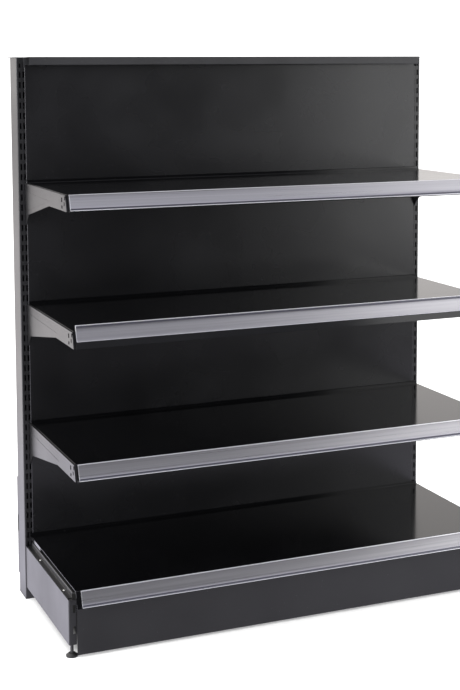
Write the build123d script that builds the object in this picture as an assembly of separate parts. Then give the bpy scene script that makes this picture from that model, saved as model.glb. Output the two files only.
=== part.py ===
from build123d import *
import math
import os

# Single-sided gondola shelving bay: two slotted uprights, stacked back panels, a base shelf on
# channel brackets with a kick plate, and three hook-on shelves with ticket strips along their
# fronts. Millimetres, X to the right, Y to the rear, Z up. The origin is on the floor, under the
# middle of the whole unit's box.

# --- driving sizes ------------------------------------------------------------------------------
# uprights
bay_pitch = 1100.0  # upright centre to upright centre
upright_width = 25.0
upright_depth = 65.0
upright_wall = 2.0
upright_top = 1356.0
slot_pitch = 25.0
slot_width = 4.0
slot_height = 15.0
slot_column_offset = 4.5  # each column from the middle of the upright
top_slot_drop = 16.0  # centre of the highest slot below the top of the steel
lowest_slot = 40.0  # no slot centre is lower than this
foot_thickness = 3.0
cap_thickness = 1.5
cap_overhang = 6.0
plug_length = 14.0
plug_wall = 2.0

# sheet metal
deck_sheet = 1.0
panel_sheet = 1.0
kick_sheet = 1.0
rib_sheet = 1.0
rail_sheet = 1.0
bracket_plate = 2.0
bend_inside = 0.6  # inner radius of every fold
tube_corner = 2.5  # outer radius of the uprights' corners
strip_edge = 0.35  # rounding of the plastic extrusion's corners

# back panels
panel_front = 6.0  # front of the panels ahead of the uprights
panel_side_inset = 18.5  # panel's side edge from the outer face of the upright
panel_height = 300.0
panel_rows = 4
panel_seam = 0.6
bottom_panel_foot = 30.0  # the lowest panel ends this high above the floor
lug_height = 20.0
lug_depth = 16.0
lug_inset = 45.0  # lug centre from the panel's top or bottom edge
peg_diameter = 5.0
peg_setback = 10.0  # peg centre behind the front of the upright

# shelves, from the top one down
shelf_depths = [360.0, 400.0, 400.0]
shelf_slots = [12, 24, 36]  # slot, counted from the top, that the shelf's upper hooks sit in
shelf_play = 4.0  # the shelves are this much narrower than the bay
shelf_side_shift = 7.0  # shelves sit a little to the right of the middle
front_fold_drop = 38.0
front_fold_lean = 12.0  # the fold runs this far forward over its drop
fold_return = 10.0
upstand_height = 6.3
rib_depth = 15.0
rib_width = 60.0
rib_flange = 12.0
rib_end_gap = 12.0

# shelf brackets
bracket_above_slot = 10.0  # top of the bracket above the centre of its upper slot
bracket_nose_height = 36.0
bracket_nose_length = 135.0
bracket_heel_height = 75.0
bracket_heel_length = 30.0
bracket_tail_height = 103.0
bracket_tail_length = 5.0
bracket_ledge = 12.0
bracket_hooks = 4
hook_neck = 6.0
hook_drop = 6.0
hook_thickness = 3.0
emboss_depth = 0.4
emboss_band = 20.0

# base
base_depth = 410.0
base_overreach = 8.0  # the base deck is this much wider than the bay
base_side_shift = 4.0
base_bracket_length = 387.0
base_bracket_height = 105.0
base_bracket_floor_gap = 32.0
base_bracket_inset = 2.0
base_top_flange = 13.0
base_front_flange = 18.0
base_slot_width = 6.0
base_slot_height = 18.0
base_slot_levels = [66.0, 116.0]
base_slot_inset = 13.0
riser_sheet = 1.2
riser_height = 13.0
riser_ledge = 25.0
riser_rivet_places = [115.0, 325.0]  # from the uprights' front face
base_rib_depth = 14.0
base_rib_width = 14.0
side_tab_length = 90.0
side_tab_height = 8.0
kick_bottom = 7.0
kick_top = 125.0
kick_gap = 4.0  # kick plate ahead of the base brackets
kick_return = 12.0
kick_lug_depth = 16.0

# ticket strips
strip_height = 39.0
strip_side_inset = 2.5  # from the end of the shelf
strip_back = 1.2
strip_pocket = 1.4
strip_face = 1.1
strip_lip = 3.2  # how far the lower ridge stands out from the face
strip_ridge = 1.3
strip_raised = 13.0  # the second shelf's strip is upside down and stands this much higher

# levelling feet
foot_pad_diameter = 28.0
foot_pad_height = 8.0
foot_stud_diameter = 8.0
foot_setback = 17.0  # from the front of the base bracket
foot_inset = 11.0
foot_nut_across = 13.0
foot_nut_height = 6.5
foot_stud_top = 58.0

# top rail
rail_height = 20.0
rail_top = 1358.0
rail_front = 36.0
rail_side_inset = 23.0
rail_return = 8.0

# cross beams and rear brace
beam_height = 40.0
beam_depth = 25.0
beam_wall = 1.5
beam_plate = 2.0
beam_setback = 22.0
beam_levels = [1300.0, 80.0]
beam_bolt_diameter = 6.0
beam_bolt_head = 10.0
brace_bottom = 150.0
brace_height = 47.0
brace_depth = 20.0
brace_sheet = 1.5
brace_plate_bottom = 42.0
brace_plate_top = 293.0
brace_side_inset = 3.0

# clearances
hook_clearance = 0.3
sheet_clearance = 0.2
strip_clearance = 0.3
plug_clearance = 0.2
peg_clearance = 0.1
stud_clearance = 0.05
lug_clearance = 0.3
return_clearance = 3.0

# --- sizes that follow --------------------------------------------------------------------------
unit_width = bay_pitch + upright_width
shelf_width = bay_pitch - shelf_play
base_width = bay_pitch + base_overreach
half_width = unit_width / 2
lean = math.atan2(front_fold_lean, front_fold_drop)
strip_stack = strip_clearance + strip_back + strip_pocket + strip_face
strip_reach = (strip_stack + strip_lip) * math.cos(lean) + strip_height * math.sin(lean)
front_reach = base_depth + strip_reach
rear_reach = upright_depth + brace_depth
face_y = (front_reach - rear_reach) / 2  # the front face of the uprights
top_slot = upright_top - top_slot_drop
slot_count = int((top_slot - lowest_slot) / slot_pitch) + 1
inner_column = upright_width / 2 + slot_column_offset  # from the upright's outer face
outer_column = upright_width / 2 - slot_column_offset
bracket_outer = inner_column - bracket_plate / 2
panel_face_y = face_y - panel_front
base_bracket_top = base_bracket_floor_gap + base_bracket_height
base_deck_top = base_bracket_top + riser_height + base_rib_depth + deck_sheet
base_front_y = face_y - base_bracket_length


# --- helpers ------------------------------------------------------------------------------------
def block(x0, x1, y0, y1, z0, z1):
    """An upright box between two corners, given in any order."""
    size = (abs(x1 - x0), abs(y1 - y0), abs(z1 - z0))
    middle = ((x0 + x1) / 2, (y0 + y1) / 2, (z0 + z1) / 2)
    return Solid.make_box(*size).moved(Location([m - s / 2 for m, s in zip(middle, size)]))


def prism_x(outline, x0, x1):
    """A (y, z) outline carried along X."""
    low, high = min(x0, x1), max(x0, x1)
    wire = Wire.make_polygon([Vector(low, y, z) for y, z in outline], close=True)
    return Solid.extrude(Face(wire), Vector(high - low, 0, 0))


def rounded(face, corner, radius):
    """The face with one of its corners rounded."""
    vertex = min(face.vertices(), key=lambda v: (Vector(v) - corner).length)
    return face.fillet_2d(radius, [vertex])


def folded(path, thickness, place, push):
    """A folded sheet carried along a direction, with rounded bends. The path and the thickness are
    those of sheet_outline, and place turns its two coordinates into a point."""
    outline = sheet_outline(path, thickness)
    face = Face(Wire.make_polygon([place(*point) for point in outline], close=True))
    for index in range(1, len(path) - 1):
        (a, b), (c, d), (e, f) = path[index - 1 : index + 2]
        turns_left = (c - a) * (f - d) > (d - b) * (e - c)
        near = place(*path[index])
        far = place(*outline[-1 - index])
        inner, outer = (near, far) if turns_left else (far, near)
        face = rounded(face, inner, bend_inside)
        face = rounded(face, outer, bend_inside + thickness)
    return Solid.extrude(face, push)


def folded_x(path, thickness, x0, x1):
    """A folded sheet whose (y, z) path is carried along X."""
    low, high = min(x0, x1), max(x0, x1)
    return folded(path, thickness, lambda y, z: Vector(low, y, z), Vector(high - low, 0, 0))


def folded_y(path, thickness, y0, y1):
    """A folded sheet whose (x, z) path is carried along Y."""
    low, high = min(y0, y1), max(y0, y1)
    return folded(path, thickness, lambda x, z: Vector(x, low, z), Vector(0, high - low, 0))


def edges_on(shape, **planes):
    """The straight edges whose middle lies on the given planes, such as Y=0, Z=10."""
    found = []
    for edge in shape.edges():
        middle = edge.center()
        if all(abs(getattr(middle, axis) - level) < 0.01 for axis, level in planes.items()):
            found.append(edge)
    return found


def prism_y(outline, y0, y1):
    """An (x, z) outline carried along Y."""
    low, high = min(y0, y1), max(y0, y1)
    wire = Wire.make_polygon([Vector(x, low, z) for x, z in outline], close=True)
    return Solid.extrude(Face(wire), Vector(0, high - low, 0))


def rod(centre, axis, length, diameter):
    """A round bar from a point along a direction."""
    return Solid.make_cylinder(diameter / 2, length, Plane(origin=centre, z_dir=axis))


def hexagon(centre, axis, length, across_flats):
    """A hexagonal bar from a point along a direction."""
    corner = across_flats / math.sqrt(3)
    flat = Plane(origin=centre, z_dir=axis)
    ring = []
    for step in range(6):
        turn = math.radians(60 * step)
        ring.append(flat.from_local_coords(Vector(corner * math.cos(turn), corner * math.sin(turn))))
    push = Vector(*axis).normalized() * length
    return Solid.extrude(Face(Wire.make_polygon(ring, close=True)), push)


def sheet_outline(path, thickness):
    """The closed outline of a folded sheet: the path is one side of it, and the thickness lies to
    the right of the path, with mitred corners."""
    normals = []
    for (a, b), (c, d) in zip(path, path[1:]):
        run = math.hypot(c - a, d - b)
        normals.append(((d - b) / run, (a - c) / run))
    far = []
    for index, (a, b) in enumerate(path):
        before = normals[max(index - 1, 0)]
        after = normals[min(index, len(normals) - 1)]
        spread = 1 + before[0] * after[0] + before[1] * after[1]
        shift = [thickness * (p + q) / spread for p, q in zip(before, after)]
        far.append((a + shift[0], b + shift[1]))
    return path + far[::-1]


def fuse(parts):
    """One solid from touching parts."""
    joined = parts[0].fuse(*parts[1:]) if len(parts) > 1 else parts[0]
    return joined.clean()


def cut(body, tools):
    """The body without the tools."""
    return body.cut(*tools)


def mirrored(shape):
    """The same piece for the right-hand side."""
    return shape.mirror(Plane.YZ)


def outward_x(inset):
    """X of a plane that lies this far inside the left upright's outer face."""
    return inset - half_width


def slot_level(index):
    """Height of a slot's centre, counted from the top."""
    return top_slot - slot_pitch * index


def write(name, *solids):
    """One STEP file per named piece; like pieces share one as a group."""
    flat = []
    for item in solids:
        flat.extend(item.solids())
    shape = flat[0] if len(flat) == 1 else Compound(children=flat)
    shape.label = name
    export_step(shape, f"parts/{name}.step")


def write_pair(name, shape):
    """The left-hand piece and its mirror image."""
    write(f"{name}_left", shape)
    write(f"{name}_right", mirrored(shape))


# --- uprights -----------------------------------------------------------------------------------
def panel_levels():
    """Bottom and top of each back panel, from the top one down."""
    rows = []
    top = upright_top
    for _ in range(panel_rows):
        rows.append((top - panel_height + panel_seam, top))
        top -= panel_height
    rows.append((bottom_panel_foot, top))
    return rows


def lug_levels():
    """Heights of the pegs that hold the back panels."""
    levels = []
    for low, high in panel_levels():
        inset = min(lug_inset, (high - low) / 3)
        levels += [low + inset, high - inset]
    return levels


def upright():
    """Rectangular tube with two columns of slots in its front and peg holes in its inner side."""
    x0 = outward_x(0)
    x1 = outward_x(upright_width)
    rear = face_y + upright_depth
    tube = block(x0, x1, face_y, rear, foot_thickness, upright_top)
    tube = tube.fillet(tube_corner, tube.edges().filter_by(Axis.Z))
    bore = block(
        x0 + upright_wall,
        x1 - upright_wall,
        face_y + upright_wall,
        rear - upright_wall,
        0,
        upright_top + 1,
    )
    tools = [bore]
    for column in (inner_column, outer_column):
        middle = outward_x(column)
        for index in range(slot_count):
            level = slot_level(index)
            tools.append(
                block(
                    middle - slot_width / 2,
                    middle + slot_width / 2,
                    face_y - 1,
                    face_y + upright_wall + 1,
                    level - slot_height / 2,
                    level + slot_height / 2,
                )
            )
    hole = peg_diameter + 2 * peg_clearance
    for level in lug_levels():
        start = (x1 - upright_wall - 1, face_y + peg_setback, level)
        tools.append(rod(start, (1, 0, 0), upright_wall + 2, hole))
    for start in beam_bolt_places():
        tools.append(rod(start, (-1, 0, 0), upright_wall + 1, beam_bolt_diameter))
    for start in brace_bolt_places():
        tools.append(rod(start, (0, -1, 0), upright_wall + 1, beam_bolt_diameter))
    return cut(tube, tools)


def end_plug(z_flange, z_plug, overhang, flange_thickness):
    """Plastic end piece: a flange across the tube's end, and a hollow plug inside it."""
    x0 = outward_x(0)
    x1 = outward_x(upright_width)
    rear = face_y + upright_depth
    up = 1 if z_plug > z_flange else -1
    flange = block(
        x0 - overhang, x1 + overhang, face_y, rear, z_flange, z_flange - up * flange_thickness
    )
    gap = upright_wall + plug_clearance
    plug = block(x0 + gap, x1 - gap, face_y + gap, rear - gap, z_flange, z_plug)
    skin = gap + plug_wall
    hollow = block(x0 + skin, x1 - skin, face_y + skin, rear - skin, z_flange, z_plug + up)
    return fuse([flange, cut(plug, [hollow])])


# --- back panels --------------------------------------------------------------------------------
def back_panel(low, high):
    """Tray-shaped panel: folded back on all four edges, with pegged lugs beside the uprights."""
    x0 = outward_x(panel_side_inset)
    body = block(x0, -x0, panel_face_y, face_y, low, high)
    body = body.fillet(bend_inside + panel_sheet, edges_on(body, Y=panel_face_y))
    inside = block(
        x0 + panel_sheet,
        -x0 - panel_sheet,
        panel_face_y + panel_sheet,
        face_y + 1,
        low + panel_sheet,
        high - panel_sheet,
    )
    parts = [cut(body, [inside])]
    inner_face = outward_x(upright_width)
    lug_x = inner_face + lug_clearance
    inset = min(lug_inset, (high - low) / 3)
    for level in (low + inset, high - inset):
        lug = block(
            lug_x,
            lug_x + panel_sheet,
            panel_face_y + panel_sheet / 2,
            face_y + lug_depth,
            level - lug_height / 2,
            level + lug_height / 2,
        )
        peg_length = upright_wall + lug_clearance + panel_sheet / 2
        start = (inner_face - upright_wall, face_y + peg_setback, level)
        peg = rod(start, (1, 0, 0), peg_length, peg_diameter)
        parts += [lug, peg, mirrored(lug), mirrored(peg)]
    return fuse(parts)


# --- hooks and shelf brackets -------------------------------------------------------------------
def hook(x0, x1, level, root_y):
    """A hook that passes through the slot at this level, rests on its lower edge and drops behind
    the upright's front wall."""
    seat = level - slot_height / 2
    inner = face_y + upright_wall + hook_clearance
    back = inner + hook_thickness
    outline = [
        (root_y, seat),
        (inner, seat),
        (inner, seat - hook_drop),
        (back, seat - hook_drop),
        (back, seat + hook_neck),
        (root_y, seat + hook_neck),
    ]
    return prism_x(outline, x0, x1)


def shelf_bracket(depth, slot_index):
    """Pressed plate with a pointed web under the shelf's depth, an inward ledge along its top, a
    pressed triangle, holes at its nose and hooks at its heel."""
    top = slot_level(slot_index) + bracket_above_slot
    reach = depth - deck_sheet - sheet_clearance - hook_clearance
    heel_y = face_y - 1.0
    front_y = face_y - reach
    nose_lean = bracket_nose_height * math.tan(lean)
    x0 = outward_x(bracket_outer)
    x1 = x0 + bracket_plate
    outline = [
        (heel_y, top),
        (front_y, top),
        (front_y - nose_lean, top - bracket_nose_height),
        (front_y + bracket_nose_length, top - bracket_nose_height),
        (face_y - bracket_heel_length, top - bracket_heel_height),
        (face_y - bracket_tail_length, top - bracket_tail_height),
        (heel_y, top - bracket_tail_height),
    ]
    plate = prism_x(outline, x0, x1)
    ledge_back = panel_face_y - 2.0
    ledge = block(x0, x0 + bracket_ledge, front_y + 8, ledge_back, top - bracket_plate, top)
    band_level = top - emboss_band
    triangle = [
        (face_y - 14, band_level),
        (front_y + bracket_nose_length - 10, band_level - 4),
        (face_y - bracket_heel_length - 8, top - bracket_heel_height + 14),
        (face_y - 14, top - bracket_heel_height + 8),
    ]
    raised = prism_x(triangle, x0 - emboss_depth, x0)
    pressed = prism_x(triangle, x1 - emboss_depth, x1)
    windows = []
    for setback, drop, length, height in (
        (30.0, 12.0, 8.0, 10.0),
        (34.0, 28.0, 8.0, 7.0),
        (13.0, 20.0, 6.0, 9.0),
        (4.0, 7.0, 7.0, 9.0),
    ):
        y = front_y - drop * math.tan(lean) + setback
        level = top - drop
        windows.append(
            block(x0 - 1, x1 + 1, y - length / 2, y + length / 2, level - height / 2, level + height / 2)
        )
    plate = cut(plate, windows + [pressed])
    parts = [plate, ledge, raised]
    for step in range(bracket_hooks):
        parts.append(hook(x0, x1, slot_level(slot_index + step), heel_y - 4))
    return fuse(parts)


# --- shelf decks, stiffeners and ticket strips ---------------------------------------------------
def deck(depth, top, x0, x1, return_x0, return_x1):
    """Folded tray: a low upstand at the back, and a leaning fold with a return at the front. The
    return stops short of the brackets, so the deck lifts straight off them."""
    under = top - deck_sheet
    back = panel_face_y - sheet_clearance
    fold_y = face_y - depth
    inner = fold_y + deck_sheet
    foot_y = fold_y - front_fold_lean
    path = [
        (back, top + upstand_height),
        (back, under),
        (inner, under),
        (foot_y + deck_sheet, top - front_fold_drop),
    ]
    tray = folded_x(path, deck_sheet, x0, x1)
    low = top - front_fold_drop
    lip = block(return_x0, return_x1, foot_y + deck_sheet / 2, foot_y + fold_return, low, low + deck_sheet)
    return fuse([tray, lip])


def hat(middle, width, flange, depth, top, sheet):
    """Outline of a top-hat rib whose flanges lie against a sheet at this height."""
    half = width / 2
    path = [
        (middle - half, top),
        (middle - half + flange, top),
        (middle - half + flange, top - depth + sheet),
        (middle + half - flange, top - depth + sheet),
        (middle + half - flange, top),
        (middle + half, top),
    ]
    return sheet_outline(path, sheet)


def ticket_strip(depth, top, x0, x1, upside_down):
    """Plastic extrusion: a back wall against the shelf's fold, a face in front of it with a pocket
    between, and two ridges along the closed edge."""
    down = (-math.sin(lean), -math.cos(lean))
    out = (-math.cos(lean), math.sin(lean))
    start = (face_y - depth, top)
    behind = strip_clearance
    pocket = behind + strip_back
    face_in = pocket + strip_pocket
    face_out = face_in + strip_face
    crest = face_out + strip_lip
    end = strip_height
    closed = [
        (0, behind),
        (end, behind),
        (end, crest),
        (end - strip_ridge, crest),
        (end - strip_ridge, face_out),
        (end - 3 * strip_ridge, face_out),
        (end - 3 * strip_ridge, face_out + strip_lip / 2),
        (end - 4 * strip_ridge, face_out + strip_lip / 2),
        (end - 4 * strip_ridge, face_out),
        (1.5, face_out),
        (1.5, face_in),
        (end - 1.5 * strip_ridge, face_in),
        (end - 1.5 * strip_ridge, pocket),
        (0, pocket),
    ]
    outline = []
    for along, off in closed:
        if upside_down:
            along = strip_height - along - strip_raised
        y = start[0] + down[0] * along + out[0] * off
        z = start[1] + down[1] * along + out[1] * off
        outline.append(Vector(x0, y, z))
    face = Face(Wire.make_polygon(outline, close=True))
    for corner in outline:
        face = rounded(face, corner, strip_edge)
    return Solid.extrude(face, Vector(x1 - x0, 0, 0))


# --- base ---------------------------------------------------------------------------------------
def base_bracket():
    """Channel foot: an outer web, top, bottom and front flanges, a rear plate and hooks."""
    x0 = outward_x(base_bracket_inset)
    web = x0 + bracket_plate
    low = base_bracket_floor_gap
    high = base_bracket_top
    rear = face_y - 1.0
    front = base_front_y
    flange_x = x0 + base_front_flange
    parts = [
        block(x0, web, front, rear, low, high),
        block(x0, x0 + base_top_flange, front, rear, high - bracket_plate, high),
        block(x0, flange_x, front, panel_face_y - 1, low, low + bracket_plate),
        block(x0, flange_x, front, front + bracket_plate, low, high),
    ]
    hook_x = outward_x(bracket_outer)
    parts.append(block(x0, hook_x + bracket_plate, rear - bracket_plate, rear, low, high))
    first = math.ceil((top_slot - (high - slot_height)) / slot_pitch)
    for step in range(3):
        level = slot_level(first + step)
        parts.append(hook(hook_x, hook_x + bracket_plate, level, rear - bracket_plate / 2))
    body = fuse(parts)
    body = body.fillet(bend_inside + bracket_plate, edges_on(body, X=x0, Y=front))
    tools = []
    for level in base_slot_levels:
        middle = x0 + base_slot_inset
        tools.append(
            block(
                middle - base_slot_width / 2,
                middle + base_slot_width / 2,
                front - 1,
                front + bracket_plate + 1,
                level - base_slot_height / 2,
                level + base_slot_height / 2,
            )
        )
    bore = foot_stud_diameter + 2 * stud_clearance
    tools.append(rod(foot_point(low - 1), (0, 0, 1), bracket_plate + 2, bore))
    for point in rivet_points(high - bracket_plate - 1):
        tools.append(rod(point, (0, 0, 1), bracket_plate + 2, 4.0))
    return cut(body, tools)


def rivet_points(level):
    """Where the riser is riveted to the base bracket's top flange."""
    x = outward_x(base_bracket_inset) + bracket_plate + 5.5
    return [(x, face_y - place, level) for place in riser_rivet_places]


def base_riser():
    """Z-shaped rail on the base bracket: a riveted foot, a low wall and a ledge for the deck."""
    x0 = outward_x(base_bracket_inset) + bracket_plate
    wall = outward_x(base_bracket_inset) + base_top_flange
    low = base_bracket_top
    high = low + riser_height
    path = [
        (x0, low),
        (wall, low),
        (wall, high - riser_sheet),
        (wall + riser_ledge, high - riser_sheet),
    ]
    rail = folded_y(path[::-1], riser_sheet, face_y - 14, base_front_y + 12)
    tools = [rod(point, (0, 0, 1), riser_sheet + 2, 4.0) for point in rivet_points(low - 1)]
    return cut(rail, tools)


def rivets():
    """Four dome rivets, shank through the riser and the flange."""
    solids = []
    for point in rivet_points(base_bracket_top - bracket_plate):
        shank = rod(point, (0, 0, 1), bracket_plate + riser_sheet, 4.0)
        head_at = (point[0], point[1], base_bracket_top + riser_sheet)
        head = Solid.make_cone(3.6, 2.2, 1.6, Plane(origin=head_at, z_dir=(0, 0, 1)))
        solids.append(fuse([shank, head]))
    return solids + [mirrored(solid) for solid in solids]


def kick_plate():
    """Folded sheet between the base brackets, with lugs that grip the brackets' front flanges."""
    front = base_front_y - kick_gap
    rear = front + kick_sheet
    lug_x = outward_x(base_bracket_inset + base_front_flange) + lug_clearance
    parts = [block(lug_x, -lug_x, front, rear, kick_bottom, kick_top)]
    for low in (kick_bottom, kick_top - kick_sheet):
        parts.append(block(lug_x, -lug_x, front, rear + kick_return, low, low + kick_sheet))
    for level in base_slot_levels:
        lug = block(
            lug_x, lug_x + kick_sheet, rear - kick_sheet / 2, rear + kick_lug_depth, level - 8, level + 8
        )
        parts += [lug, mirrored(lug)]
    plate = fuse(parts)
    folds = edges_on(plate, X=0, Y=front, Z=kick_top) + edges_on(plate, X=0, Y=front, Z=kick_bottom)
    return plate.fillet(bend_inside + kick_sheet, folds)


def base_deck(x0, x1):
    """The base shelf: the same folds as the upper ones, with short side tabs at the back."""
    parts = [deck(base_depth, base_deck_top, x0, x1, x0, x1)]
    under = base_deck_top - deck_sheet / 2
    rear = panel_face_y - 6
    for side, step in ((x0, deck_sheet), (x1, -deck_sheet)):
        low = under - side_tab_height
        parts.append(block(side, side + step, rear - side_tab_length, rear, low, under))
    return fuse(parts)


def base_rib(x_middle):
    """Hat rib from front to back that stands on the riser's ledge."""
    outline = hat(x_middle, base_rib_width, 4.0, base_rib_depth, base_deck_top - deck_sheet, rib_sheet)
    return prism_y(outline, panel_face_y - 12, face_y - base_depth + 16)


# --- levelling feet -----------------------------------------------------------------------------
def foot_point(level):
    """The levelling foot's axis at this height."""
    x = outward_x(base_bracket_inset + foot_inset)
    return (x, base_front_y + foot_setback, level)


def foot_pad():
    """Round plastic pad with a socket for the stud's ball end."""
    radius = foot_pad_diameter / 2
    floor = Plane(origin=foot_point(0), z_dir=(0, 0, 1))
    rim = 3.0
    disc = Solid.make_cylinder(radius, rim, floor)
    shoulder = Plane(origin=foot_point(rim), z_dir=(0, 0, 1))
    cone = Solid.make_cone(radius, radius * 0.55, foot_pad_height - rim, shoulder)
    socket = foot_stud_diameter + 2 * stud_clearance
    return cut(fuse([disc, cone]), [rod(foot_point(rim), (0, 0, 1), foot_pad_height, socket)])


def foot_stud():
    """Threaded stud, plain here, from the pad's socket up through the nut."""
    return rod(foot_point(3.0), (0, 0, 1), foot_stud_top - 3.0, foot_stud_diameter)


def foot_nut():
    """Weld nut inside the base bracket."""
    low = base_bracket_floor_gap + bracket_plate
    nut = hexagon(foot_point(low), (0, 0, 1), foot_nut_height, foot_nut_across)
    bore = foot_stud_diameter + 2 * stud_clearance
    return cut(nut, [rod(foot_point(low - 1), (0, 0, 1), foot_nut_height + 2, bore)])


# --- top rail, cross beams and rear brace --------------------------------------------------------
def top_rail():
    """Folded channel along the top edge, on two angle arms that hook into the highest slots."""
    x0 = outward_x(rail_side_inset)
    front = face_y - rail_front
    low = rail_top - rail_height
    back = panel_face_y - sheet_clearance
    path = [
        (back, rail_top - rail_sheet),
        (front + rail_sheet, rail_top - rail_sheet),
        (front + rail_sheet, low + rail_sheet),
        (front + rail_sheet + rail_return, low + rail_sheet),
    ]
    channel = folded_x(path, rail_sheet, x0, -x0)
    arm_x = outward_x(bracket_outer)
    arm_y = face_y - 12.0
    seat = slot_level(0) - slot_height / 2
    arm_top = rail_top - rail_sheet
    arms = [
        block(arm_x, arm_x + bracket_plate, arm_y, face_y - 1, seat, arm_top),
        block(arm_x, x0 + 30, arm_y, arm_y + bracket_plate, seat + hook_neck, arm_top),
        hook(arm_x, arm_x + bracket_plate, slot_level(0), face_y - 4),
    ]
    return fuse([channel] + arms + [mirrored(arm) for arm in arms])


def beam_bolt_places():
    """Bolt axes of the cross beams at the inner side of the left upright."""
    x = outward_x(upright_width)
    y = face_y + beam_setback + beam_depth / 2
    return [(x, y, level + side * 28.0) for level in beam_levels for side in (-1, 1)]


def cross_beam(level):
    """Rectangular tube between the uprights, with an end plate bolted to each."""
    x0 = outward_x(upright_width)
    y0 = face_y + beam_setback
    y1 = y0 + beam_depth
    low = level - beam_height / 2
    high = level + beam_height / 2
    tube = block(x0 + beam_plate, -x0 - beam_plate, y0, y1, low, high)
    bore = block(
        x0, -x0, y0 + beam_wall, y1 - beam_wall, low + beam_wall, high - beam_wall
    )
    plate = block(x0, x0 + beam_plate, y0, y1, level - 36, level + 36)
    holes = []
    for start in beam_bolt_places():
        holes.append(rod((start[0] - 1, start[1], start[2]), (1, 0, 0), beam_plate + 2, beam_bolt_diameter))
    plate = cut(plate, holes)
    return fuse([cut(tube, [bore]), plate, mirrored(plate)])


def beam_bolts():
    """Hexagon bolts of the cross beams: a head on the plate, and a shank through to the upright."""
    solids = []
    for x, y, z in beam_bolt_places():
        shank = rod((x - upright_wall, y, z), (1, 0, 0), upright_wall + beam_plate, beam_bolt_diameter)
        head = hexagon((x + beam_plate, y, z), (1, 0, 0), 4.0, beam_bolt_head)
        bolt = fuse([shank, head])
        solids += [bolt, mirrored(bolt)]
    return solids


def brace_bolt_places():
    """Bolt axes of the rear brace at the back of the left upright."""
    x = outward_x(upright_width / 2)
    y = face_y + upright_depth
    return [(x, y, level) for level in (brace_plate_bottom + 20, brace_plate_top - 20)]


def rear_brace():
    """Channel across the back of both uprights, on tall bolted end angles."""
    x0 = outward_x(brace_side_inset)
    y0 = face_y + upright_depth
    y1 = y0 + brace_depth
    low = brace_bottom
    high = low + brace_height
    path = [
        (y0, high - brace_sheet),
        (y1 - brace_sheet, high - brace_sheet),
        (y1 - brace_sheet, low + brace_sheet),
        (y0, low + brace_sheet),
    ]
    parts = [folded_x(path[::-1], brace_sheet, x0, -x0)]
    tools = []
    for x, y, z in brace_bolt_places():
        for side in (1, -1):
            tools.append(rod((side * x, y - 1, z), (0, 1, 0), beam_plate + 2, beam_bolt_diameter))
    for bottom, top in ((brace_plate_bottom, low), (high, brace_plate_top)):
        wing = block(x0, x0 + beam_plate, y0, y1, bottom, top)
        strap = block(x0, outward_x(upright_width - 2), y0, y0 + beam_plate, bottom, top)
        parts += [wing, strap, mirrored(wing), mirrored(strap)]
    return cut(fuse(parts), tools)


def brace_bolts():
    """Hexagon bolts that hold the rear brace's angles to the uprights."""
    solids = []
    for x, y, z in brace_bolt_places():
        shank = rod((x, y - upright_wall, z), (0, 1, 0), upright_wall + beam_plate, beam_bolt_diameter)
        head = hexagon((x, y + beam_plate, z), (0, 1, 0), 4.0, beam_bolt_head)
        bolt = fuse([shank, head])
        solids += [bolt, mirrored(bolt)]
    return solids


# --- the assembly -------------------------------------------------------------------------------
os.makedirs("parts", exist_ok=True)

write_pair("upright", upright())
write_pair(
    "upright_foot", end_plug(foot_thickness, foot_thickness + plug_length, 0.0, foot_thickness)
)
write_pair("upright_cap", end_plug(upright_top, upright_top - plug_length, cap_overhang, cap_thickness))

for number, (low, high) in enumerate(panel_levels(), start=1):
    write(f"back_panel_{number}", back_panel(low, high))

write("cross_beam_upper", cross_beam(beam_levels[0]))
write("cross_beam_lower", cross_beam(beam_levels[1]))
write("cross_beam_bolts", *beam_bolts())
write("rear_brace", rear_brace())
write("rear_brace_bolts", *brace_bolts())
write("top_rail", top_rail())

shelf_left = shelf_side_shift - shelf_width / 2
shelf_right = shelf_side_shift + shelf_width / 2
return_left = outward_x(bracket_outer + bracket_ledge) + return_clearance
for number, (depth, slot_index) in enumerate(zip(shelf_depths, shelf_slots), start=1):
    write_pair(f"shelf_bracket_{number}", shelf_bracket(depth, slot_index))
    top = slot_level(slot_index) + bracket_above_slot + deck_sheet
    write(
        f"shelf_deck_{number}", deck(depth, top, shelf_left, shelf_right, return_left, -return_left)
    )
    rib = hat(face_y - depth / 2, rib_width, rib_flange, rib_depth, top - deck_sheet, rib_sheet)
    rib_left = outward_x(bracket_outer + bracket_ledge) + rib_end_gap
    write(f"shelf_stiffener_{number}", prism_x(rib, rib_left, -rib_left))
    left = shelf_left + strip_side_inset
    right = shelf_right - strip_side_inset
    write(f"ticket_strip_{number}", ticket_strip(depth, top, left, right, number == 2))

write_pair("base_bracket", base_bracket())
write_pair("base_riser", base_riser())
write("riser_rivets", *rivets())
base_left = base_side_shift - base_width / 2
base_right = base_side_shift + base_width / 2
write("base_deck", base_deck(base_left, base_right))
ledge_middle = outward_x(base_bracket_inset) + base_top_flange + riser_ledge / 2 + 2
write("base_rib_left", base_rib(ledge_middle))
write("base_rib_right", base_rib(-ledge_middle))
centre_rib = hat(
    face_y - base_depth / 2, rib_width, rib_flange, base_rib_depth, base_deck_top - deck_sheet, rib_sheet
)
centre_rib_left = ledge_middle + base_rib_width
write("base_stiffener", prism_x(centre_rib, centre_rib_left, -centre_rib_left))
strip_left = shelf_left + strip_side_inset
strip_right = shelf_right - strip_side_inset
write("ticket_strip_base", ticket_strip(base_depth, base_deck_top, strip_left, strip_right, False))
write("kick_plate", kick_plate())

write_pair("foot_pad", foot_pad())
write_pair("foot_stud", foot_stud())
write_pair("foot_nut", foot_nut())
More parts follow.
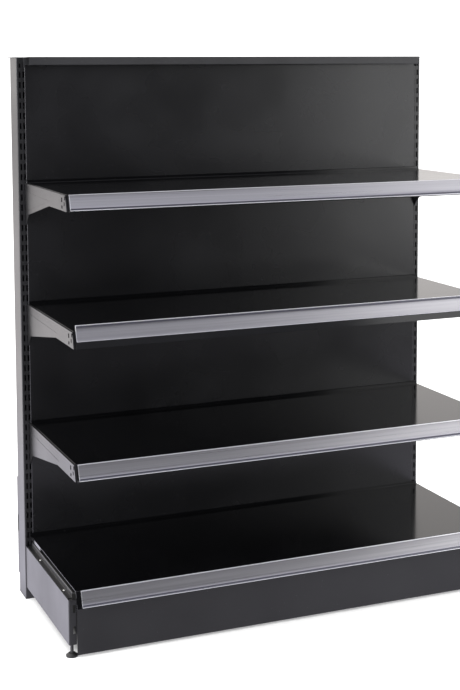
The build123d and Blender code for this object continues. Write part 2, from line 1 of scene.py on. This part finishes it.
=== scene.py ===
"""A black gondola shelving bay, dressed for its studio picture.

The steel is powder coated black, the price-ticket strips are grey extruded plastic, and the feet,
caps and pads are moulded black plastic. Lengths are in metres, in the frame of the part."""
import bmesh
import bpy
import math
import numpy as np
from mathutils import Matrix, Vector


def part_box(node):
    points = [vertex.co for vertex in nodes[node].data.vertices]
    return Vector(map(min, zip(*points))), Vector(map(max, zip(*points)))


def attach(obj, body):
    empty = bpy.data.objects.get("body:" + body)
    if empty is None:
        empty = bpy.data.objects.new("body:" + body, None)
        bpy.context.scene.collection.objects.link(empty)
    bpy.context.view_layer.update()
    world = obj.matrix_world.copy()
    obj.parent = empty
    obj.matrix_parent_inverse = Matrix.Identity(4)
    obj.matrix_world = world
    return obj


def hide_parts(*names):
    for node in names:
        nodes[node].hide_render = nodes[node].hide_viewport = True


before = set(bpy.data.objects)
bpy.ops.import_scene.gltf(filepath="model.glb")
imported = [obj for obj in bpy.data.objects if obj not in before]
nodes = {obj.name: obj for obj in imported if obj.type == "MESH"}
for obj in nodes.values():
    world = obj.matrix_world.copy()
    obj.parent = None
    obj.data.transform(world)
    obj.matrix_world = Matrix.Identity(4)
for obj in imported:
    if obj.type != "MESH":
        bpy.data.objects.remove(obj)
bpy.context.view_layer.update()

# --- Uprights ------------------------------------------------------------------------------------
# Two 65 x 25 mm slotted tubes of 2 mm steel, punched at 25 mm pitch and powder coated satin black.
# The coat lies as a fine orange peel, and its gloss wanders a little along the length.


def coat_grain():
    """Node group: the orange peel of a powder coat. Height is fine noise on top of a slower swell,
    Wander is a slow noise between 0 and 1 that varies gloss from place to place, and Speck is a
    sparse mask where single dust grains lie."""
    group = bpy.data.node_groups.new("coat_grain", "ShaderNodeTree")
    face = group.interface
    face.new_socket(name="Vector", in_out="INPUT", socket_type="NodeSocketVector")
    peel_in = face.new_socket(name="Peel Scale", in_out="INPUT", socket_type="NodeSocketFloat")
    peel_in.default_value = 900.0
    wander_in = face.new_socket(name="Wander Scale", in_out="INPUT", socket_type="NodeSocketFloat")
    wander_in.default_value = 5.0
    for name in ("Height", "Wander", "Speck"):
        face.new_socket(name=name, in_out="OUTPUT", socket_type="NodeSocketFloat")
    inside, link = group.nodes, group.links.new
    given = inside.new("NodeGroupInput")
    out = inside.new("NodeGroupOutput")
    fine = inside.new("ShaderNodeTexNoise")
    fine.inputs["Detail"].default_value = 2.0
    link(given.outputs["Vector"], fine.inputs["Vector"])
    link(given.outputs["Peel Scale"], fine.inputs["Scale"])
    swell_scale = inside.new("ShaderNodeMath")
    swell_scale.operation = "MULTIPLY"
    swell_scale.inputs[1].default_value = 0.16
    link(given.outputs["Peel Scale"], swell_scale.inputs[0])
    swell = inside.new("ShaderNodeTexNoise")
    swell.inputs["Detail"].default_value = 1.0
    link(given.outputs["Vector"], swell.inputs["Vector"])
    link(swell_scale.outputs[0], swell.inputs["Scale"])
    both = inside.new("ShaderNodeMath")
    both.operation = "MULTIPLY_ADD"
    both.inputs[1].default_value = 1.6
    link(swell.outputs["Fac"], both.inputs[0])
    link(fine.outputs["Fac"], both.inputs[2])
    link(both.outputs[0], out.inputs["Height"])
    slow = inside.new("ShaderNodeTexNoise")
    slow.inputs["Detail"].default_value = 3.0
    slow.inputs["Roughness"].default_value = 0.55
    link(given.outputs["Vector"], slow.inputs["Vector"])
    link(given.outputs["Wander Scale"], slow.inputs["Scale"])
    spread = inside.new("ShaderNodeMapRange")
    spread.inputs["From Min"].default_value = 0.3
    spread.inputs["From Max"].default_value = 0.7
    link(slow.outputs["Fac"], spread.inputs["Value"])
    link(spread.outputs["Result"], out.inputs["Wander"])
    grains = inside.new("ShaderNodeTexVoronoi")
    grains.inputs["Scale"].default_value = 70.0
    link(given.outputs["Vector"], grains.inputs["Vector"])
    speck = inside.new("ShaderNodeMapRange")
    speck.inputs["From Min"].default_value = 0.06
    speck.inputs["From Max"].default_value = 0.03
    link(grains.outputs["Distance"], speck.inputs["Value"])
    link(speck.outputs["Result"], out.inputs["Speck"])
    return group


grain = coat_grain()


def powder_coat(
    name, colour, haze, rough, rough_swing, bump, peel_scale=900.0, wander_scale=5.0, ior=1.5
):
    """Black powder coat: colour wanders from colour to haze, roughness by rough_swing about rough,
    and the orange peel of coat_grain lifts the surface by bump."""
    mat = bpy.data.materials.new(name)
    mat.use_nodes = True
    tree, link = mat.node_tree.nodes, mat.node_tree.links.new
    shader = tree["Principled BSDF"]
    place = tree.new("ShaderNodeTexCoord")
    skin = tree.new("ShaderNodeGroup")
    skin.node_tree = grain
    skin.inputs["Peel Scale"].default_value = peel_scale
    skin.inputs["Wander Scale"].default_value = wander_scale
    link(place.outputs["Object"], skin.inputs["Vector"])
    tint = tree.new("ShaderNodeMix")
    tint.data_type = "RGBA"
    tint.inputs["A"].default_value = (*colour, 1.0)
    tint.inputs["B"].default_value = (*haze, 1.0)
    link(skin.outputs["Wander"], tint.inputs["Factor"])
    dusty = tree.new("ShaderNodeMix")
    dusty.data_type = "RGBA"
    dusty.inputs["B"].default_value = (0.10, 0.10, 0.105, 1.0)
    link(skin.outputs["Speck"], dusty.inputs["Factor"])
    link(tint.outputs["Result"], dusty.inputs["A"])
    link(dusty.outputs["Result"], shader.inputs["Base Color"])
    gloss = tree.new("ShaderNodeMapRange")
    gloss.inputs["To Min"].default_value = rough - rough_swing
    gloss.inputs["To Max"].default_value = rough + rough_swing
    link(skin.outputs["Wander"], gloss.inputs["Value"])
    link(gloss.outputs["Result"], shader.inputs["Roughness"])
    lift = tree.new("ShaderNodeBump")
    lift.inputs["Strength"].default_value = bump
    lift.inputs["Distance"].default_value = 0.0002
    link(skin.outputs["Height"], lift.inputs["Height"])
    link(lift.outputs["Normal"], shader.inputs["Normal"])
    shader.inputs["IOR"].default_value = ior
    return mat


def dress(material, *names):
    """Gives each CAD piece this material in every slot it has."""
    for name in names:
        piece = nodes[name]
        for place in piece.material_slots:
            place.material = material


upright_coat = powder_coat("upright_coat", (0.006, 0.006, 0.0065), (0.010, 0.010, 0.011), 0.34, 0.04, 0.10)
dress(upright_coat, "upright_left", "upright_right")

# --- End plugs, caps and feet --------------------------------------------------------------------
# Moulded black polypropylene with a fine spark-eroded texture, pushed into the ends of the tubes.


def moulded_black(name, colour, rough, bump, scale):
    """Black moulded plastic: an even spark texture from two noises, one coarse and one fine."""
    mat = bpy.data.materials.new(name)
    mat.use_nodes = True
    tree, link = mat.node_tree.nodes, mat.node_tree.links.new
    shader = tree["Principled BSDF"]
    place = tree.new("ShaderNodeTexCoord")
    skin = tree.new("ShaderNodeGroup")
    skin.node_tree = grain
    skin.inputs["Peel Scale"].default_value = scale
    skin.inputs["Wander Scale"].default_value = 60.0
    link(place.outputs["Object"], skin.inputs["Vector"])
    tint = tree.new("ShaderNodeMix")
    tint.data_type = "RGBA"
    tint.inputs["A"].default_value = (*colour, 1.0)
    tint.inputs["B"].default_value = (*(1.7 * c for c in colour), 1.0)
    link(skin.outputs["Wander"], tint.inputs["Factor"])
    link(tint.outputs["Result"], shader.inputs["Base Color"])
    gloss = tree.new("ShaderNodeMapRange")
    gloss.inputs["To Min"].default_value = rough - 0.06
    gloss.inputs["To Max"].default_value = rough + 0.06
    link(skin.outputs["Wander"], gloss.inputs["Value"])
    link(gloss.outputs["Result"], shader.inputs["Roughness"])
    lift = tree.new("ShaderNodeBump")
    lift.inputs["Strength"].default_value = bump
    lift.inputs["Distance"].default_value = 0.0002
    link(skin.outputs["Height"], lift.inputs["Height"])
    link(lift.outputs["Normal"], shader.inputs["Normal"])
    return mat


plug_plastic = moulded_black("plug_plastic", (0.010, 0.010, 0.010), 0.5, 0.25, 1500.0)
dress(
    plug_plastic,
    "upright_foot_left",
    "upright_foot_right",
    "upright_cap_left",
    "upright_cap_right",
    "foot_pad_left",
    "foot_pad_right",
)

# --- Back panels ---------------------------------------------------------------------------------
# Five folded trays of 1 mm sheet hung between the uprights, four full ones over a short one.
panel_coat = powder_coat("panel_coat", (0.004, 0.004, 0.0045), (0.007, 0.007, 0.008), 0.27, 0.03, 0.08)
dress(panel_coat, *(f"back_panel_{row}" for row in range(1, 6)))

# --- Cross beams, rear brace and top rail --------------------------------------------------------
# Steel members that tie the uprights together. The rail is the only one in full view from the front,
# and its coat is a little greyer than the rest.
frame_coat = powder_coat("frame_coat", (0.006, 0.006, 0.0065), (0.011, 0.011, 0.012), 0.38, 0.05, 0.12)
dress(frame_coat, "cross_beam_upper", "cross_beam_lower", "rear_brace")
rail_coat = powder_coat("rail_coat", (0.013, 0.013, 0.0145), (0.019, 0.019, 0.021), 0.42, 0.05, 0.12)
dress(rail_coat, "top_rail")

# --- Bolts, rivets and studs ---------------------------------------------------------------------
# Zinc-plated fastenings with a cloudy surface. The studs and weld nuts of the feet are black steel.
zinc = bpy.data.materials.new("zinc_plate")
zinc.use_nodes = True
tree, link = zinc.node_tree.nodes, zinc.node_tree.links.new
shader = tree["Principled BSDF"]
shader.inputs["Metallic"].default_value = 1.0
place = tree.new("ShaderNodeTexCoord")
cloud = tree.new("ShaderNodeTexNoise")
cloud.inputs["Scale"].default_value = 300.0
cloud.inputs["Detail"].default_value = 4.0
link(place.outputs["Object"], cloud.inputs["Vector"])
shade = tree.new("ShaderNodeValToRGB")
shade.color_ramp.elements[0].color = (0.42, 0.42, 0.40, 1.0)
shade.color_ramp.elements[0].position = 0.3
shade.color_ramp.elements[1].color = (0.66, 0.66, 0.64, 1.0)
shade.color_ramp.elements[1].position = 0.7
link(cloud.outputs["Fac"], shade.inputs["Fac"])
link(shade.outputs["Color"], shader.inputs["Base Color"])
gloss = tree.new("ShaderNodeMapRange")
gloss.inputs["To Min"].default_value = 0.28
gloss.inputs["To Max"].default_value = 0.48
link(cloud.outputs["Fac"], gloss.inputs["Value"])
link(gloss.outputs["Result"], shader.inputs["Roughness"])
dress(zinc, "cross_beam_bolts", "rear_brace_bolts", "riser_rivets")
stud_steel = powder_coat(
    "blackened_stud",
    (0.012, 0.012, 0.012),
    (0.03, 0.03, 0.03),
    0.38,
    0.08,
    0.2,
    peel_scale=2200.0,
    wander_scale=90.0,
)
dress(stud_steel, "foot_stud_left", "foot_stud_right", "foot_nut_left", "foot_nut_right")

# --- Shelf brackets ------------------------------------------------------------------------------
# Six hook-on arms cut from plate, in the same satin coat as the frame.
bracket_coat = powder_coat("bracket_coat", (0.006, 0.006, 0.0065), (0.011, 0.011, 0.012), 0.36, 0.05, 0.12)
dress(
    bracket_coat,
    *(f"shelf_bracket_{row}_{side}" for row in (1, 2, 3) for side in ("left", "right")),
)

# --- Shelf decks ---------------------------------------------------------------------------------
# Three decks and the base deck, with their stiffeners and ribs: the smoothest and darkest steel here.
deck_coat = powder_coat(
    "deck_coat", (0.0015, 0.0015, 0.0018), (0.003, 0.003, 0.0034), 0.12, 0.02, 0.04, ior=1.4
)
dress(
    deck_coat,
    *(f"shelf_deck_{row}" for row in (1, 2, 3)),
    *(f"shelf_stiffener_{row}" for row in (1, 2, 3)),
    "base_deck",
    "base_stiffener",
    "base_rib_left",
    "base_rib_right",
)

# --- Base brackets, risers and kick plate --------------------------------------------------------
# The sheet-metal plinth under the base deck, in the same satin coat as the shelf brackets.
base_coat = powder_coat("base_coat", (0.006, 0.006, 0.0065), (0.011, 0.011, 0.012), 0.36, 0.05, 0.12)
dress(
    base_coat,
    "base_bracket_left",
    "base_bracket_right",
    "base_riser_left",
    "base_riser_right",
    "kick_plate",
)

# --- Ticket strips -------------------------------------------------------------------------------
# Extruded grey PVC, 39 mm high, pushed over the leaning front fold of each shelf: a back wall, a
# clear-grey front flap over the ticket pocket, and a beaded hinge edge. The second one is upside down.
strip_lean = math.atan2(12.0, 38.0)
strip_behind, strip_back_wall, strip_pocket, strip_flap = 0.0003, 0.0012, 0.0014, 0.0011
strip_height, strip_bead = 0.039, 0.0032


def ticket_strip(name, upside_down):
    """The closed section (down, out) of the extrusion is smoothed by cutting each corner twice
    (Chaikin: every edge keeps its points at 1/4 and 3/4), laid along the leaning fold, and carried
    along X: P(u, v) = (x(u), y(v), z(v)). The point attribute "down" runs from 0 at the free edge to
    1 at the beaded edge, and "end" is 1 at the two cut ends."""
    low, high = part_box(name)
    flap_in = strip_behind + strip_back_wall + strip_pocket
    flap_out = flap_in + strip_flap
    crest = flap_out + strip_bead
    tall = strip_height
    section = np.array(
        [
            (0.0002, strip_behind),
            (tall - 0.0002, strip_behind),
            (tall, crest - 0.0004),
            (tall - 0.0007, crest),
            (tall - 0.0016, crest - 0.0004),
            (tall - 0.0022, flap_out),
            (tall - 0.0046, flap_out - 0.0006),
            (tall - 0.0052, flap_out + 0.0010),
            (tall - 0.0060, flap_out + 0.0012),
            (tall - 0.0066, flap_out),
            (0.020, flap_out - 0.0001),
            (0.0035, flap_out),
            (0.0028, flap_out + 0.0005),
            (0.0017, flap_out + 0.0006),
            (0.0012, flap_out),
            (0.0014, flap_in),
            (0.006, flap_in),
            (tall - 0.004, flap_in),
            (tall - 0.003, strip_behind + strip_back_wall),
            (0.0004, strip_behind + strip_back_wall),
        ]
    )
    for _ in range(2):
        after = np.roll(section, -1, axis=0)
        section = np.stack([0.75 * section + 0.25 * after, 0.25 * section + 0.75 * after], 1).reshape(-1, 2)
    down, out = section[:, 0], section[:, 1]
    place_down = strip_height - down if upside_down else down
    y = -math.sin(strip_lean) * place_down - math.cos(strip_lean) * out
    z = -math.cos(strip_lean) * place_down + math.sin(strip_lean) * out
    y += high[1] - 0.0001 - y.max()
    z += high[2] - 0.0001 - z.max()
    end_roll = 0.0004
    x = np.concatenate(
        [
            [low[0], low[0] + end_roll, low[0] + 0.0012],
            np.linspace(low[0] + 0.02, high[0] - 0.02, 40),
            [high[0] - 0.0012, high[0] - end_roll, high[0]],
        ]
    )
    rows, ring = len(x), len(y)
    points = np.empty((rows, ring, 3))
    points[:, :, 0] = x[:, None]
    points[:, :, 1] = y[None, :]
    points[:, :, 2] = z[None, :]
    row, col = np.meshgrid(np.arange(rows - 1), np.arange(ring), indexing="ij")
    nxt = (col + 1) % ring
    quads = np.stack([row * ring + col, row * ring + nxt, (row + 1) * ring + nxt, (row + 1) * ring + col], -1)
    if upside_down:
        quads = quads[..., ::-1]
    faces = quads.reshape(-1, 4).tolist()
    first, last = list(range(ring)), list(range((rows - 1) * ring, rows * ring))
    faces += [first, last[::-1]] if upside_down else [first[::-1], last]
    mesh = bpy.data.meshes.new(f"{name}_skin")
    mesh.from_pydata(points.reshape(-1, 3).tolist(), [], faces)
    along = np.zeros((rows, ring))
    along[:, :] = (down / strip_height)[None, :]
    mesh.attributes.new("down", "FLOAT", "POINT").data.foreach_set("value", along.ravel())
    ends = np.zeros((rows, ring))
    ends[:2] = 1.0
    ends[-2:] = 1.0
    mesh.attributes.new("end", "FLOAT", "POINT").data.foreach_set("value", ends.ravel())
    piece = bpy.data.objects.new(f"{name}_skin", mesh)
    bpy.context.collection.objects.link(piece)
    tidy = bmesh.new()
    tidy.from_mesh(mesh)
    bmesh.ops.recalc_face_normals(tidy, faces=tidy.faces)
    tidy.to_mesh(mesh)
    tidy.free()
    return piece


strip_plastic = bpy.data.materials.new("strip_plastic")
strip_plastic.use_nodes = True
tree, link = strip_plastic.node_tree.nodes, strip_plastic.node_tree.links.new
shader = tree["Principled BSDF"]
# The strip is plastic: the metallic share only stands for its silvery sheen.
shader.inputs["Metallic"].default_value = 0.85
shader.inputs["IOR"].default_value = 1.5
place = tree.new("ShaderNodeTexCoord")
stretch = tree.new("ShaderNodeMapping")
stretch.inputs["Scale"].default_value = (1.5, 260.0, 260.0)
link(place.outputs["Object"], stretch.inputs["Vector"])
lines = tree.new("ShaderNodeTexNoise")
lines.inputs["Scale"].default_value = 1.0
lines.inputs["Detail"].default_value = 3.0
link(stretch.outputs["Vector"], lines.inputs["Vector"])
# The colour along the section is the strip's own grey with painted light on it: painted highlights on the
# free edge and on the bead, and painted shade over the ridge and groove beside the bead.
down_at = tree.new("ShaderNodeAttribute")
down_at.attribute_name = "down"
bands = tree.new("ShaderNodeValToRGB")
stops = [
    (0.0, (0.62, 0.62, 0.64, 1.0)),
    (0.045, (0.62, 0.62, 0.64, 1.0)),
    (0.075, (0.27, 0.265, 0.28, 1.0)),
    (0.60, (0.31, 0.305, 0.32, 1.0)),
    (0.82, (0.26, 0.255, 0.275, 1.0)),
    (0.865, (0.10, 0.10, 0.12, 1.0)),
    (0.93, (0.14, 0.14, 0.17, 1.0)),
    (0.955, (0.78, 0.78, 0.80, 1.0)),
]
while len(bands.color_ramp.elements) < len(stops):
    bands.color_ramp.elements.new(0.5)
for element, (position, tone) in zip(bands.color_ramp.elements, stops):
    element.position = position
    element.color = tone
link(down_at.outputs["Fac"], bands.inputs["Fac"])
light_bands_and_streaks = tree.new("ShaderNodeMix")
light_bands_and_streaks.data_type = "RGBA"
light_bands_and_streaks.blend_type = "MULTIPLY"
light_bands_and_streaks.inputs["Factor"].default_value = 1.0
streak = tree.new("ShaderNodeMapRange")
streak.inputs["From Min"].default_value = 0.3
streak.inputs["From Max"].default_value = 0.7
streak.inputs["To Min"].default_value = 0.88
streak.inputs["To Max"].default_value = 1.06
link(lines.outputs["Fac"], streak.inputs["Value"])
link(bands.outputs["Color"], light_bands_and_streaks.inputs["A"])
link(streak.outputs["Result"], light_bands_and_streaks.inputs["B"])
end_at = tree.new("ShaderNodeAttribute")
end_at.attribute_name = "end"
# Painted highlight on the two cut ends of the strip.
cut_end_highlight = tree.new("ShaderNodeMix")
cut_end_highlight.data_type = "RGBA"
cut_end_highlight.inputs["B"].default_value = (0.80, 0.80, 0.82, 1.0)
link(end_at.outputs["Fac"], cut_end_highlight.inputs["Factor"])
link(light_bands_and_streaks.outputs["Result"], cut_end_highlight.inputs["A"])
link(cut_end_highlight.outputs["Result"], shader.inputs["Base Color"])
gloss = tree.new("ShaderNodeMapRange")
gloss.inputs["To Min"].default_value = 0.24
gloss.inputs["To Max"].default_value = 0.34
link(lines.outputs["Fac"], gloss.inputs["Value"])
link(gloss.outputs["Result"], shader.inputs["Roughness"])
for node, body in (
    ("ticket_strip_1", "strip_1"),
    ("ticket_strip_2", "strip_2"),
    ("ticket_strip_3", "strip_3"),
    ("ticket_strip_base", "base_strip"),
):
    strip = ticket_strip(node, node == "ticket_strip_2")
    strip.data.materials.append(strip_plastic)
    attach(strip, body)
    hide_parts(node)

# --- Studio --------------------------------------------------------------------------------------
# A white paper sweep under a white surround, with a large soft box to the right of the camera and a
# narrow one to the left. Reflections don't see that set: for them alone the paper and the surround
# are shaded and tinted by direction. The camera alone sees the paper glow a little, which hides most
# of the shadow, and the paper is painted near black in the footprint of the unit as painted shade under it.


def graded(tree, link, value, start, end, low=0.0, high=1.0, smooth=False):
    """The value, mapped from start..end to low..high and held there beyond both ends."""
    step = tree.new("ShaderNodeMapRange")
    if smooth:
        step.interpolation_type = "SMOOTHSTEP"
    for name, number in (("From Min", start), ("From Max", end), ("To Min", low), ("To Max", high)):
        step.inputs[name].default_value = number
    link(value, step.inputs["Value"])
    return step.outputs["Result"]


def combined(tree, link, operation, *values):
    """One Math node over the given sockets."""
    step = tree.new("ShaderNodeMath")
    step.operation = operation
    for socket, value in zip(step.inputs, values):
        link(value, socket)
    return step.outputs[0]


def mixed(tree, link, factor, first, second):
    """The colour between first and second by factor. A colour is a tuple or a socket."""
    step = tree.new("ShaderNodeMix")
    step.data_type = "RGBA"
    link(factor, step.inputs["Factor"])
    for name, colour in (("A", first), ("B", second)):
        if isinstance(colour, tuple):
            step.inputs[name].default_value = (*colour, 1.0)
        else:
            link(colour, step.inputs[name])
    return step.outputs["Result"]


def soft_light(name, width, height, energy, spot, aimed_at):
    """A rectangular soft box at spot, turned to aimed_at and hidden from the camera."""
    light = bpy.data.lights.new(name, "AREA")
    light.shape = "RECTANGLE"
    light.size, light.size_y, light.energy = width, height, energy
    box = bpy.data.objects.new(name, light)
    bpy.context.collection.objects.link(box)
    box.location = spot
    box.rotation_euler = (Vector(aimed_at) - Vector(spot)).to_track_quat("-Z", "Y").to_euler()
    box.visible_camera = False


floor_mesh = bpy.data.meshes.new("studio_floor")
reach = 40.0
floor_mesh.from_pydata(
    [(-reach, -reach, 0), (reach, -reach, 0), (reach, reach, 0), (-reach, reach, 0)],
    [],
    [(0, 1, 2, 3)],
)
floor = bpy.data.objects.new("studio_floor", floor_mesh)
bpy.context.collection.objects.link(floor)
paper = bpy.data.materials.new("studio_paper")
paper.use_nodes = True
tree, link = paper.node_tree.nodes, paper.node_tree.links.new
shader = tree["Principled BSDF"]
shader.inputs["Roughness"].default_value = 0.9
shader.inputs["Specular IOR Level"].default_value = 0.0
place = tree.new("ShaderNodeTexCoord")
split = tree.new("ShaderNodeSeparateXYZ")
link(place.outputs["Object"], split.inputs["Vector"])
across, back = split.outputs["X"], split.outputs["Y"]

# What reflections see of the paper: grey in front, bright to the left of the unit.
lit = graded(tree, link, back, -2.2, -0.9, 0.10, 0.95, smooth=True)
to_the_right = graded(tree, link, across, -0.6, 1.2, 0.7, 1.3)
front_paper = combined(tree, link, "MULTIPLY", lit, to_the_right)
beside = graded(tree, link, across, -0.50, -0.62, 0.0, 1.35, smooth=True)
near = graded(tree, link, back, 25.0, 2.0, smooth=True)
mirrored_paper = tree.new("ShaderNodeEmission")
link(
    combined(tree, link, "MULTIPLY_ADD", beside, near, front_paper),
    mirrored_paper.inputs["Strength"],
)
far = graded(tree, link, back, 0.8, 2.5)
link(mixed(tree, link, far, (0.90, 0.88, 1.0), (0.95, 0.91, 0.92)), mirrored_paper.inputs["Color"])

# What light and the camera see: white paper with painted shade in the footprint of the unit, and a glow for
# the camera.
footprint = tree.new("ShaderNodeVectorMath")
footprint.operation = "ABSOLUTE"
link(place.outputs["Object"], footprint.inputs[0])
under = tree.new("ShaderNodeSeparateXYZ")
link(footprint.outputs["Vector"], under.inputs["Vector"])
shade = combined(
    tree,
    link,
    "MULTIPLY",
    graded(tree, link, under.outputs["X"], 0.55, 0.50),
    graded(tree, link, under.outputs["Y"], 0.20, 0.16),
)
# Painted shade: the paper's colour drops to near black in the footprint of the unit, where its shadow lies.
paper_and_painted_shade = mixed(tree, link, shade, (0.90, 0.90, 0.90), (0.04, 0.04, 0.04))
link(paper_and_painted_shade, shader.inputs["Base Color"])
link(paper_and_painted_shade, shader.inputs["Emission Color"])
ray = tree.new("ShaderNodeLightPath")
camera_glow = 0.31
link(
    graded(tree, link, ray.outputs["Is Camera Ray"], 0.0, 1.0, 0.0, camera_glow),
    shader.inputs["Emission Strength"],
)
pick = tree.new("ShaderNodeMixShader")
link(ray.outputs["Is Glossy Ray"], pick.inputs["Fac"])
link(shader.outputs["BSDF"], pick.inputs[1])
link(mirrored_paper.outputs["Emission"], pick.inputs[2])
link(pick.outputs["Shader"], tree["Material Output"].inputs["Surface"])
floor.data.materials.append(paper)

# The surround: plain white for light and camera; for reflections the brightest of three gradients,
# one from front to back, one upwards and one to the left.
world = bpy.data.worlds.new("studio")
bpy.context.scene.world = world
world.use_nodes = True
tree, link = world.node_tree.nodes, world.node_tree.links.new
sky = tree["Background"]
place = tree.new("ShaderNodeTexCoord")
split = tree.new("ShaderNodeSeparateXYZ")
link(place.outputs["Generated"], split.inputs["Vector"])
front = graded(tree, link, split.outputs["Y"], -0.75, -0.15, 0.0, 1.1, smooth=True)
above = graded(tree, link, split.outputs["Z"], 0.25, 0.6, 0.1, 1.4, smooth=True)
left = graded(tree, link, split.outputs["X"], -0.05, -0.24, 0.0, 2.0, smooth=True)
brighter = combined(tree, link, "MAXIMUM", front, above)
brightest = combined(tree, link, "MAXIMUM", brighter, left)
behind = graded(tree, link, split.outputs["Y"], -0.6, 0.2)
tones = mixed(tree, link, behind, (0.88, 0.89, 1.0), (1.0, 0.96, 0.94))
ray = tree.new("ShaderNodeLightPath")
white_strength = 1.6
plain = tree.new("ShaderNodeMix")
plain.data_type = "FLOAT"
plain.inputs["A"].default_value = white_strength
link(ray.outputs["Is Glossy Ray"], plain.inputs["Factor"])
link(brightest, plain.inputs["B"])
link(plain.outputs["Result"], sky.inputs["Strength"])
link(mixed(tree, link, ray.outputs["Is Glossy Ray"], (1.0, 1.0, 1.0), tones), sky.inputs["Color"])

soft_light("soft_box", 2.0, 2.6, 46.0, (2.9, -2.9, 1.5), (0.2, 0.0, 1.0))
soft_light("edge_light", 0.7, 2.4, 55.0, (-3.4, -0.5, 1.25), (-0.4, 0.0, 0.9))

# --- Camera --------------------------------------------------------------------------------------
# A long lens at chest height, to the left of the bay and turned to the right.
lens = bpy.data.cameras.new("camera")
lens.sensor_width = 36.0
lens.lens = 71.93
lens.shift_y = -0.2159
camera = bpy.data.objects.new("camera", lens)
bpy.context.collection.objects.link(camera)
turn, dip, roll = math.radians(22.542), math.radians(5.336), math.radians(-0.247)
camera.matrix_world = (
    Matrix.Translation((-1.3732, -3.1314, 1.3309))
    @ Matrix.Rotation(-turn, 4, "Z")
    @ Matrix.Rotation(math.pi / 2 - dip, 4, "X")
    @ Matrix.Rotation(roll, 4, "Z")
)
bpy.context.scene.camera = camera
bpy.context.scene.view_settings.view_transform = "Standard"
